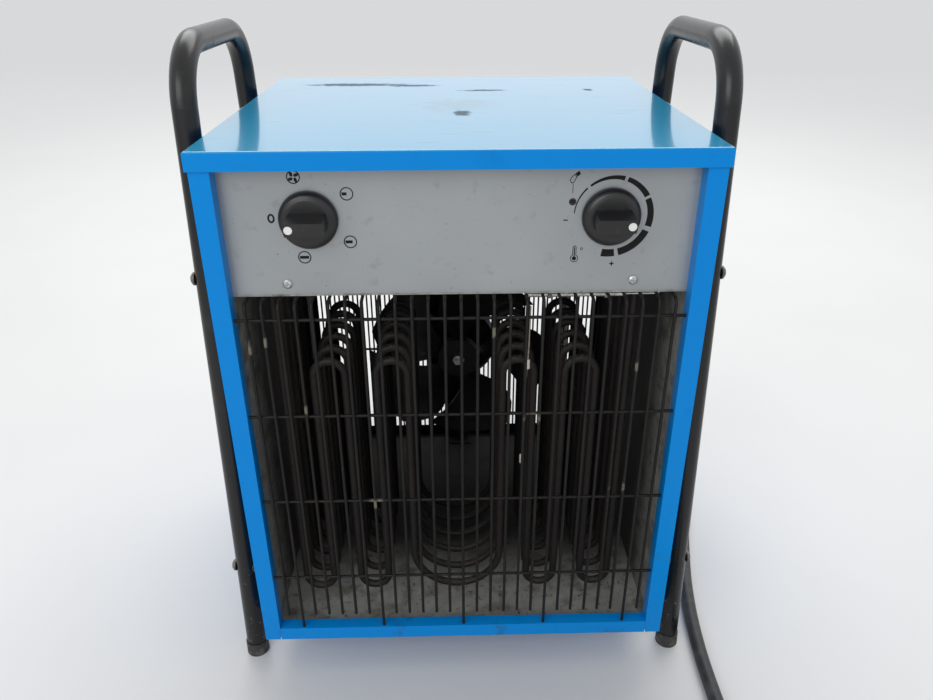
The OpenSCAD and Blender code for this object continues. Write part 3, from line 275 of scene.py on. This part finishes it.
def galvanised(name, unshaded_to, dark_from, *nodes):
    """Zinc sheet with no painted shade up to one depth and full painted shade from another."""
    m = Mat(name, (0.42, 0.42, 0.39), 0.5, 0.3)
    v = m.node("ShaderNodeTexVoronoi")
    v.inputs["Scale"].default_value = 70
    m.t.links.new(m.pos, v.inputs["Vector"])
    m.paint(m.ramp(v.outputs["Distance"], 0.2, 0.8), (0.3, 0.3, 0.28), 0.6, 0.6)
    m.paint(m.ramp(m.noise(35, 6), 0.48, 0.68), (0.13, 0.115, 0.085), 0.85, 0.7)
    m.paint(m.ramp(m.noise(220, 4), 0.6, 0.68), (0.04, 0.034, 0.028), 0.9, 0.6)
    # Painted shade: darker and duller deeper inside the case
    m.paint(m.ramp(m.axis(1), unshaded_to, dark_from), INSIDE_SHADE, 0.9, 0.97)
    m.done(*nodes)


galvanised("floor_zinc", -0.135, -0.02, "inner_floor")
galvanised("liner_zinc", -0.185, -0.07, "left_liner", "right_liner")
galvanised("inner_zinc", -0.12, -0.03, "component_shelf", "motor_bracket", "mounting_rail", "bulb_clips")

m = Mat("zinc", (0.55, 0.55, 0.54), 0.33, 0.95)
m.paint(m.ramp(m.noise(250, 4), 0.5, 0.68), (0.25, 0.22, 0.18), 0.6, 0.5)
m.done("lid_screws", "panel_screws", "frame_nuts", "motor_screws", "selector_shaft", "thermostat_shaft",
       "motor_shaft", "fan_nut")

m = Mat("ceramic", (0.72, 0.70, 0.65), 0.5)
m.paint(m.ramp(m.noise(200, 4), 0.5, 0.7), (0.4, 0.36, 0.3), 0.7, 0.5)
m.done("element_terminals")

m = Mat("black_bolt", (0.02, 0.02, 0.02), 0.4, 0.4)
m.paint(m.edge(0.52, 0.6), (0.2, 0.18, 0.15), 0.5, 0.8)
m.done("frame_bolts")

m = Mat("guard_wire", (0.005, 0.0047, 0.0044), 0.5, 0.1, Specular_IOR_Level=0.3)
m.paint(m.ramp(m.noise(24, 5), 0.5, 0.68), (0.015, 0.012, 0.009), 0.7, 0.5)
m.paint(m.ramp(m.noise(420, 4), 0.64, 0.74), (0.11, 0.1, 0.075), 0.9, 0.35)
for x, z in LINT:
    fluff = m.blob(row(x, LINT_DEPTH, z), (0.009, 0.02, 0.006), 1.2, 0.5, 1.6, 260)
    m.paint(fluff, (0.2, 0.18, 0.14), 0.95, 0.8)
m.bump(m.noise(900, 3), 0.5, 0.0003)
m.done("front_grille", "rear_grille")

m = Mat("black_plastic", (0.008, 0.008, 0.0085), 0.33)
m.paint(m.ramp(m.noise(120, 5), 0.52, 0.75), (0.02, 0.02, 0.019), 0.5, 0.6)
m.bump(m.noise(1500, 2), 0.15, 0.0002)
m.done("selector_knob", "thermostat_knob", "thermal_cutout", "contactor", "frame_spacers")

m = Mat("foot_rubber", (0.03, 0.029, 0.028), 0.75)
m.paint(m.ramp(m.noise(150, 5), 0.45, 0.62), (0.12, 0.11, 0.10), 0.9, 0.7)
m.bump(m.noise(500, 4), 0.5, 0.0006)
m.done("foot_caps")

m = Mat("switch_plastic", (0.62, 0.60, 0.55), 0.5)
m.paint(m.ramp(m.noise(60, 4), 0.5, 0.75), (0.4, 0.37, 0.32), 0.7, 0.4)
m.done("selector_switch", "terminal_block")

m = Mat("red_plastic", (0.45, 0.015, 0.012), 0.38)
m.paint(m.ramp(m.noise(60, 5), 0.52, 0.75), (0.2, 0.02, 0.018), 0.6, 0.6)
m.paint(m.edge(0.53, 0.62), (0.6, 0.1, 0.08), 0.6, 0.5)
m.done("plug_body")

m = Mat("button_plastic", (0.004, 0.004, 0.004), 0.4, Specular_IOR_Level=0.25)
m.paint(m.ramp(m.noise(200, 3), 0.5, 0.7), (0.012, 0.012, 0.012), 0.6, 0.5)
m.done("reset_button")

m = Mat("gland_plastic", (0.33, 0.34, 0.35), 0.45)
m.paint(m.ramp(m.noise(90, 5), 0.5, 0.75), (0.2, 0.2, 0.19), 0.6, 0.5)
m.done("cable_gland", "gland_locknut")

m = Mat("element_steel", (0.014, 0.0115, 0.0105), 0.5, 0.3, Specular_IOR_Level=0.35)
m.paint(m.ramp(m.noise(9, 4), 0.35, 0.65), (0.022, 0.016, 0.0135), 0.55, 0.7)
m.paint(m.ramp(m.noise(160, 5), 0.52, 0.7), (0.009, 0.008, 0.007), 0.7, 0.6)
up = m.ramp(m.facing(2), 0.2, 0.9)
m.paint(m.math("MULTIPLY", up, m.ramp(m.noise(300, 3), 0.4, 0.6)), (0.10, 0.088, 0.07), 0.95, 0.45)
# Painted shade: the elements darken deeper inside the case
m.paint(m.ramp(m.axis(1), -0.11, 0.0), INSIDE_SHADE, 0.8, 0.75)
m.bump(m.noise(700, 3), 0.2, 0.0003)
m.done(*[f"heating_element_{i}" for i in range(1, 7)])

m = Mat("brass", (0.62, 0.42, 0.16), 0.35, 0.95)
m.paint(m.ramp(m.noise(160, 4), 0.5, 0.7), (0.3, 0.19, 0.08), 0.55, 0.6)
m.done("element_bushings", "plug_pins")

m = Mat("tinned", (0.62, 0.61, 0.58), 0.25, 0.95)
m.paint(m.ramp(m.noise(220, 4), 0.5, 0.72), (0.3, 0.27, 0.22), 0.5, 0.5)
m.done("sensing_capillary", "sensing_bulb", "thermostat_body")

m = Mat("fan_steel", (0.014, 0.014, 0.0145), 0.45, 0.4)
m.paint(m.ramp(m.noise(22, 6), 0.42, 0.66), (0.008, 0.0075, 0.007), 0.8, 0.7)
m.paint(m.ramp(m.noise(260, 4), 0.6, 0.7), (0.02, 0.018, 0.015), 0.9, 0.5)
m.done("fan_blades", "fan_hub")

# Near-black motor paint, its base colour darkened further as painted shade deep inside the case
m = Mat("motor_paint", (0.0028, 0.0032, 0.0048), 0.6, Specular_IOR_Level=0.2)
m.paint(m.ramp(m.noise(50, 5), 0.5, 0.7), (0.007, 0.0065, 0.006), 0.8, 0.5)
m.done("fan_motor")


# Mesh helpers
def mesh_object(name, verts, faces, material=None, smooth=False):
    """New object in the scene, its faces turned outward."""
    me = bpy.data.meshes.new(name)
    me.from_pydata([tuple(v) for v in verts], [], faces)
    me.validate()
    bm = bmesh.new()
    bm.from_mesh(me)
    bmesh.ops.recalc_face_normals(bm, faces=bm.faces)
    bm.to_mesh(me)
    bm.free()
    if smooth:
        for p in me.polygons:
            p.use_smooth = True
    ob = bpy.data.objects.new(name, me)
    bpy.context.scene.collection.objects.link(ob)
    if material:
        me.materials.append(material)
    return ob


def tube_mesh(name, points, radius, sides, material):
    """Round tube along shared-frame points, with frames carried from ring to ring."""
    pts = [Vector(p) for p in points]
    last = len(pts) - 1
    tan = [(pts[min(i + 1, last)] - pts[max(i - 1, 0)]).normalized() for i in range(len(pts))]
    n = tan[0].orthogonal().normalized()
    verts, faces = [], []
    for i, p in enumerate(pts):
        n = (n - tan[i] * n.dot(tan[i])).normalized()
        b = tan[i].cross(n)
        for k in range(sides):
            a = 2 * math.pi * k / sides
            verts.append(p + (n * math.cos(a) + b * math.sin(a)) * radius)
    for i in range(last):
        for k in range(sides):
            a, b = i * sides + k, i * sides + (k + 1) % sides
            faces.append((a, b, b + sides, a + sides))
    faces.append(tuple(range(sides))[::-1])
    faces.append(tuple(last * sides + k for k in range(sides)))
    return mesh_object(name, verts, faces, material, True)


def rounded(points, steps):
    """Catmull-Rom line through the points."""
    p = [Vector(q) for q in points]
    p = [p[0] * 2 - p[1]] + p + [p[-1] * 2 - p[-2]]
    out = []
    for i in range(1, len(p) - 2):
        for s in range(steps):
            t = s / steps
            a, b, c, d = p[i - 1], p[i], p[i + 1], p[i + 2]
            out.append(0.5 * ((2 * b) + (c - a) * t + (2 * a - 5 * b + 4 * c - d) * t * t
                              + (3 * b - a - 3 * c + d) * t ** 3))
    out.append(p[-2])
    return out


# Supply cord: radius in metres, and a route chosen from gland to coil in millimetres
CORD_R = 0.008
route = [
    (178, 449.8, 505), (178, 475, 505), (178, 501, 500), (178, 523, 486), (178, 538, 462), (178, 543, 430),
    (178, 543, 388), (178, 543, 346), (178, 543, 304), (178, 543, 262), (178, 543, 220), (178, 543, 178),
    (178, 543, 138), (180, 542, 102), (187, 538, 68), (202, 529, 38), (225, 516, 17), (254, 499, 8),
    (286, 475, 8), (312, 444, 8), (329, 407, 8), (336, 367, 8), (335, 326, 8), (328, 286, 8), (318, 246, 8),
    (307, 206, 8), (297, 166, 8), (288, 126, 8), (281, 86, 8), (276, 46, 8), (273, 6, 8), (272, -34, 8),
    (272, -74, 8), (272, -108, 8), (272, -142, 8)]
# Coil of two layers, in millimetres: it winds inward, climbs, and winds outward again
COIL_R, COIL_STEP, TURNS_IN, TURNS = 96, 20, 0.875, 2.25
COIL_X, COIL_DEPTH = 272 - COIL_R, -190
COIL_LOW, COIL_LIFT = 9.4, 16.6
STEPS_PER_TURN = 48


def coil_point(t):
    """Point on the coil's middle line after t turns."""
    r = COIL_R - COIL_STEP * min(t, TURNS_IN, TURNS - t)
    rise = 0 if t < TURNS_IN else min(1, (t - TURNS_IN) * 2)
    a = 2 * math.pi * t
    height = COIL_LOW + COIL_LIFT * rise * rise * (3 - 2 * rise)
    return (COIL_X + r * math.cos(a), COIL_DEPTH - r * math.sin(a), height)


coil = [coil_point(i / STEPS_PER_TURN) for i in range(int(TURNS * STEPS_PER_TURN) + 1)]
COIL_ENTRY, COIL_EXIT = (272, -158, 8), (158, -286, 26)
tail = [(142, -286, 26), (120, -286, 28.5), (98, -286, 32), (80, -286, 33), (62, -286, 33)]
line = rounded([row(*p) for p in route + [COIL_ENTRY]], 4)
line += [row(*p) for p in coil]
line += rounded([row(*p) for p in [COIL_EXIT] + tail], 4)
for q in line:
    q.z = max(q.z, CORD_R)

m = Mat("cord_rubber", (0.024, 0.025, 0.025), 0.5, Specular_IOR_Level=0.4)
m.paint(m.ramp(m.noise(60, 5), 0.45, 0.68), (0.085, 0.087, 0.083), 0.75, 0.5)
m.paint(m.ramp(m.noise(400, 3), 0.66, 0.72), (0.2, 0.19, 0.17), 0.8, 0.5)
m.bump(m.noise(500, 3), 0.25, 0.0004)
rubber = m.done("cord_boot")
cord = tube_mesh("rubber_cord", line, CORD_R, 20, rubber)
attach(cord, "case")
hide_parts("supply_cord", "cord_coil", "cord_tail")

m = Mat("tie_plastic", (0.02, 0.02, 0.02), 0.35)
m.paint(m.ramp(m.noise(300, 3), 0.5, 0.7), (0.06, 0.06, 0.06), 0.5, 0.5)
m.done("cord_tie")

# Thin wire with two ceramic sleeves that hangs before the elements
m = Mat("glass_braid", (0.30, 0.27, 0.21), 0.8)
m.paint(m.ramp(m.noise(300, 3), 0.5, 0.7), (0.12, 0.10, 0.07), 0.9, 0.7)
# Its points in millimetres, its radius in metres
WIRE_POINTS = ((64, 30, 441), (63.5, 29, 400), (62.4, 30, 372), (61, 31, 330), (60.4, 30, 290),
               (60.2, 29, 250), (61.4, 30, 190), (62.6, 31, 130), (63.2, 30, 57.5))
WIRE_R = 0.0007
wire_line = rounded([row(*q) for q in WIRE_POINTS], 6)
sensor_wire = tube_mesh("sensor_wire", wire_line, WIRE_R, 8, m.done())
m = Mat("sleeve_ceramic", (0.7, 0.68, 0.62), 0.45)
m.paint(m.ramp(m.noise(260, 4), 0.5, 0.7), (0.42, 0.38, 0.3), 0.7, 0.6)
sleeve = m.done()
# Sleeves in metres: radius, rings and their step, heights of the tops, and how near the wire's
# points have to be
SLEEVE_R, SLEEVE_RINGS, SLEEVE_STEP = 0.0022, 9, 0.0012
SLEEVE_HEIGHTS, NEAR = (0.384, 0.28), 0.004
tops = [q for q in wire_line if any(abs(q.z - height) < NEAR for height in SLEEVE_HEIGHTS)]
pieces = [sensor_wire]
for k, top in enumerate((tops[0], tops[-1])):
    sleeve_line = [top - Vector((0, 0, SLEEVE_STEP * i)) for i in range(SLEEVE_RINGS)]
    pieces.append(tube_mesh(f"wire_sleeve_{k + 1}", sleeve_line, SLEEVE_R, 14, sleeve))
for piece in pieces:
    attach(piece, "case")

# Panel marks: inks
m = Mat("ink", (0.003, 0.003, 0.0035), 0.5, Specular_IOR_Level=0.2)
m.paint(m.ramp(m.noise(500, 3), 0.66, 0.76), (0.06, 0.06, 0.06), 0.6, 0.4)
ink = m.done()
m = Mat("white_ink", (0.78, 0.78, 0.75), 0.5)
m.paint(m.ramp(m.noise(700, 3), 0.6, 0.75), (0.45, 0.44, 0.42), 0.6, 0.6)
white = m.done()
m = Mat("silver_ink", (0.31, 0.33, 0.345), 0.45, 0.1)
m.paint(m.ramp(m.noise(300, 3), 0.5, 0.7), (0.27, 0.28, 0.3), 0.5, 0.5)
silver = m.done()

# Panel marks in metres: how far an ink sinks into what is under it, and how thick each layer is
INK_SINK = 0.00001
FIRST_LAYER, NEXT_LAYER = 0.00006, 0.00003


def flat_marks(name, polys, material, y=PANEL_Y, thick=FIRST_LAYER):
    """Thin raised prints on the panel; each poly is a ring of (x, z) in mm, or a pair outer/inner."""
    verts, faces = [], []
    for poly in polys:
        outer, inner = poly if isinstance(poly, tuple) else (poly, None)
        k = len(verts)
        n = len(outer)
        for yy in (y - thick, y + INK_SINK):
            verts += [(x / 1000, yy, z / 1000) for x, z in outer]
            if inner:
                verts += [(x / 1000, yy, z / 1000) for x, z in inner]
        w = n * (2 if inner else 1)
        for i in range(n):
            j = (i + 1) % n
            faces.append((k + i, k + j, k + w + j, k + w + i))
            if inner:
                faces.append((k + n + i, k + n + j, k + w + n + j, k + w + n + i))
                faces.append((k + i, k + j, k + n + j, k + n + i))
        if not inner:
            faces.append(tuple(k + i for i in range(n)))
    ob = mesh_object(name, verts, faces, material)
    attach(ob, "case")


def disc(cx, cz, rx, rz, n):
    """Ellipse of n points, all in millimetres."""
    angles = [2 * math.pi * i / n for i in range(n)]
    return [(cx + rx * math.cos(a), cz + rz * math.sin(a)) for a in angles]


def ring(cx, cz, rx, w, rz=None, n=48):
    """Outer and inner ellipse of a line that is w wide; round unless rz is given."""
    rz = rz or rx
    return (disc(cx, cz, rx, rz, n), disc(cx, cz, rx - w, rz - w, n))


def bar(x0, x1, z0, z1):
    """Rectangle from x0 to x1 and from z0 to z1."""
    return [(x0, z0), (x1, z0), (x1, z1), (x0, z1)]


def sector(cx, cz, a0, a1, r_in, r_out0, r_out1, n=14):
    """Curved band from angle a0 to a1 whose outer radius grows on the way."""
    turns = [math.radians(a0 + (a1 - a0) * i / n) for i in range(n + 1)]
    grown = [r_out0 + (r_out1 - r_out0) * i / n for i in range(n + 1)]
    outer = [(cx + r * math.cos(a), cz + r * math.sin(a)) for r, a in zip(grown, turns)]
    inner = [(cx + r_in * math.cos(a), cz + r_in * math.sin(a)) for a in reversed(turns)]
    return outer + inner


# Knob centres in millimetres: half their distance, and their height
KX, KZ = 128, 529
flat_marks("selector_marks", [
    ring(-159.5, 530.2, 3.1, 1.6, 4.1),
    ring(-94.6, 550.7, 5.7, 0.95), bar(-98.7, -94.6, 549.4, 552.0),
    ring(-94.3, 508.9, 5.7, 0.95), bar(-98.5, -92.4, 507.6, 510.2),
    ring(-134.6, 495.4, 5.7, 0.95), bar(-138.7, -130.8, 494.1, 496.7),
    ring(-137.4, 565.2, 5.7, 0.95),
], ink)


def leaf(cx, cz, turn, n=18):
    """One blade of the fan pictogram: an ellipse beside the centre, turned round it."""
    out = []
    for i in range(n):
        a = 2 * math.pi * i / n
        x, z = 2.75 + 2.1 * math.cos(a), 1.35 * math.sin(a) + 0.9
        out.append((cx + x * math.cos(turn) - z * math.sin(turn),
                    cz + x * math.sin(turn) + z * math.cos(turn)))
    return out


flat_marks("fan_mark", [leaf(-137.4, 565.2, k * math.pi / 2 + 0.3) for k in range(4)], ink)
# Centre of the printed scale
AX, AZ = KX + 0.2, KZ + 0.8
flat_marks("scale_marks", [
    sector(AX, AZ, 176, 132.5, 31.4, 32.2, 32.8),
    sector(AX, AZ, 127, 74, 31.1, 32.9, 34.9),
    sector(AX, AZ, 69.5, 29.5, 31.0, 35.0, 35.9),
    sector(AX, AZ, 25.5, -17, 30.6, 35.7, 36.3),
    sector(AX, AZ, -24, -76, 30.4, 36.5, 36.9),
    sector(AX, AZ, -81.5, -100.5, 30.2, 36.8, 37.0),
    bar(87.4, 91.4, 525.6, 526.6),
    bar(129.8, 133.8, 485.9, 486.9), bar(131.3, 132.3, 484.4, 488.4),
], ink)

# Thermometer pictogram: its middle, its bulb's centre and the centre of its round top
TUBE_X, BULB_Z, TUBE_TOP_Z = 98.6, 491.6, 501.6


def thermometer(half, bulb):
    """Outline of a thermometer: a bulb of the given radius under a tube of the given half width."""
    start = math.degrees(math.acos(half / bulb))
    turn = [math.radians(180 - start + (180 + 2 * start) * i / 24) for i in range(25)]
    top = [math.radians(180 * i / 12) for i in range(13)]
    round_bulb = [(TUBE_X + bulb * math.cos(a), BULB_Z + bulb * math.sin(a)) for a in turn]
    return round_bulb + [(TUBE_X + half * math.cos(a), TUBE_TOP_Z + half * math.sin(a)) for a in top]


flat_marks("thermometer_mark", [thermometer(1.7, 3.5), ring(104.6, 500.4, 1.2, 0.5)], ink)
glass_y = PANEL_Y - FIRST_LAYER
flat_marks("thermometer_glass", [thermometer(1.1, 2.85)], silver, glass_y, NEXT_LAYER)
flat_marks("thermometer_core", [thermometer(0.5, 1.9)], ink, glass_y - NEXT_LAYER, NEXT_LAYER)
flat_marks("reset_mark", [
    bar(93.8, 94.3, 549.6, 557.6),
    [(95.4, 565.9), (97.4, 563.4), (100.0, 565.6), (98.6, 568.2)],
    ring(94.5, 542, 3.1, 0.8),
], ink)
HAND_OUTER = [(91.0, 560.4), (92.6, 557.6), (94.6, 558.2), (97.2, 563.2), (95.2, 565.7), (92.4, 563.2)]
HAND_INNER = [(91.7, 560.5), (92.9, 558.4), (94.2, 558.8), (96.4, 563.1), (95.1, 564.8), (92.9, 562.8)]
flat_marks("hand_mark", [(HAND_OUTER, HAND_INNER)], ink)

# Pointer dots on the floors of the knobs' recesses, in millimetres, but proud and sink in metres
KNOB_FACE_R, KNOB_H, KNOB_GAP = 16.5, 29.5, 0.5
POINTER_R, POINTER_DEPTH = 3.6, 0.6
DOT_R, DOT_SIDES = 3.5, 40
DOT_PROUD, DOT_SINK = 0.0003, 0.00002
for name, x, s, body in (("selector_dot", -KX, -1, "selector"), ("thermostat_dot", KX, 1, "thermostat")):
    cx, cz = x + s * (KNOB_FACE_R - POINTER_R - POINTER_DEPTH), KZ
    recess_y = Y0 + (PANEL_DEPTH - KNOB_GAP - KNOB_H + POINTER_DEPTH) / 1000
    outline = disc(cx, cz, DOT_R, DOT_R, DOT_SIDES)
    verts = [(px / 1000, recess_y - DOT_PROUD, pz / 1000) for px, pz in outline]
    verts += [(px / 1000, recess_y + DOT_SINK, pz / 1000) for px, pz in outline]
    faces = [tuple(range(DOT_SIDES))]
    for i in range(DOT_SIDES):
        j = (i + 1) % DOT_SIDES
        faces.append((i, j, DOT_SIDES + j, DOT_SIDES + i))
    ob = mesh_object(name, verts, faces, white)
    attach(ob, body)

# Stage: a floor, in metres, with painted light that makes it paler towards the back
FLOOR_HALF, FLOOR_FRONT, FLOOR_BACK = 40, -12, 70
corners = [(-FLOOR_HALF, FLOOR_FRONT, 0), (FLOOR_HALF, FLOOR_FRONT, 0),
           (FLOOR_HALF, FLOOR_BACK, 0), (-FLOOR_HALF, FLOOR_BACK, 0)]
floor = mesh_object("floor", corners, [(0, 1, 2, 3)])
m = Mat("floor", (0.68, 0.68, 0.67), 0.6)
m.paint(m.ramp(m.noise(2.2, 4), 0.3, 0.7), (0.63, 0.63, 0.62), 0.6, 0.4)
m.paint(m.ramp(m.axis(1), 0.6, 4.5), (0.93, 0.93, 0.92), 0.7)
m.done(floor)

# World: brighter where the camera sees it, directly or in a glossy face, than where it lights
WORLD_LIGHT, WORLD_SEEN = 0.72, 1.0
world = bpy.data.worlds.new("world")
bpy.context.scene.world = world
world.use_nodes = True
tree = world.node_tree
background = tree.nodes["Background"]
background.inputs["Color"].default_value = (0.97, 0.98, 1.0, 1)
rays = tree.nodes.new("ShaderNodeLightPath")
seen = rays.outputs["Is Camera Ray"]
for kind in ("Is Glossy Ray", "Is Transmission Ray"):
    either = tree.nodes.new("ShaderNodeMath")
    either.operation = "MAXIMUM"
    tree.links.new(seen, either.inputs[0])
    tree.links.new(rays.outputs[kind], either.inputs[1])
    seen = either.outputs[0]
level = tree.nodes.new("ShaderNodeMapRange")
level.inputs["To Min"].default_value = WORLD_LIGHT
level.inputs["To Max"].default_value = WORLD_SEEN
tree.links.new(seen, level.inputs["Value"])
tree.links.new(level.outputs[0], background.inputs["Strength"])


def area(name, at, target, size, power):
    """Rectangular lamp at one point, turned to another; metres and watts."""
    d = bpy.data.lights.new(name, "AREA")
    d.shape = "RECTANGLE"
    d.size, d.size_y = size
    d.energy = power
    o = bpy.data.objects.new(name, d)
    bpy.context.scene.collection.objects.link(o)
    o.location = at
    o.rotation_euler = (Vector(target) - Vector(at)).to_track_quat("-Z", "Y").to_euler()


area("ceiling", at=(0.2, 1.5, 2.6), target=(0, 0, 0.4), size=(3.2, 1.6), power=60)
area("front_fill", at=(-1.2, -2.4, 1.9), target=(0, 0, 0.35), size=(2.0, 1.6), power=28)

bpy.context.scene.view_settings.view_transform = "Standard"
bpy.context.scene.view_settings.look = "None"

# CAD faces that are round read as round
SHARP_ANGLE = math.radians(32)
for o in N.values():
    o.data.set_sharp_from_angle(angle=SHARP_ANGLE)
    for p in o.data.polygons:
        p.use_smooth = True
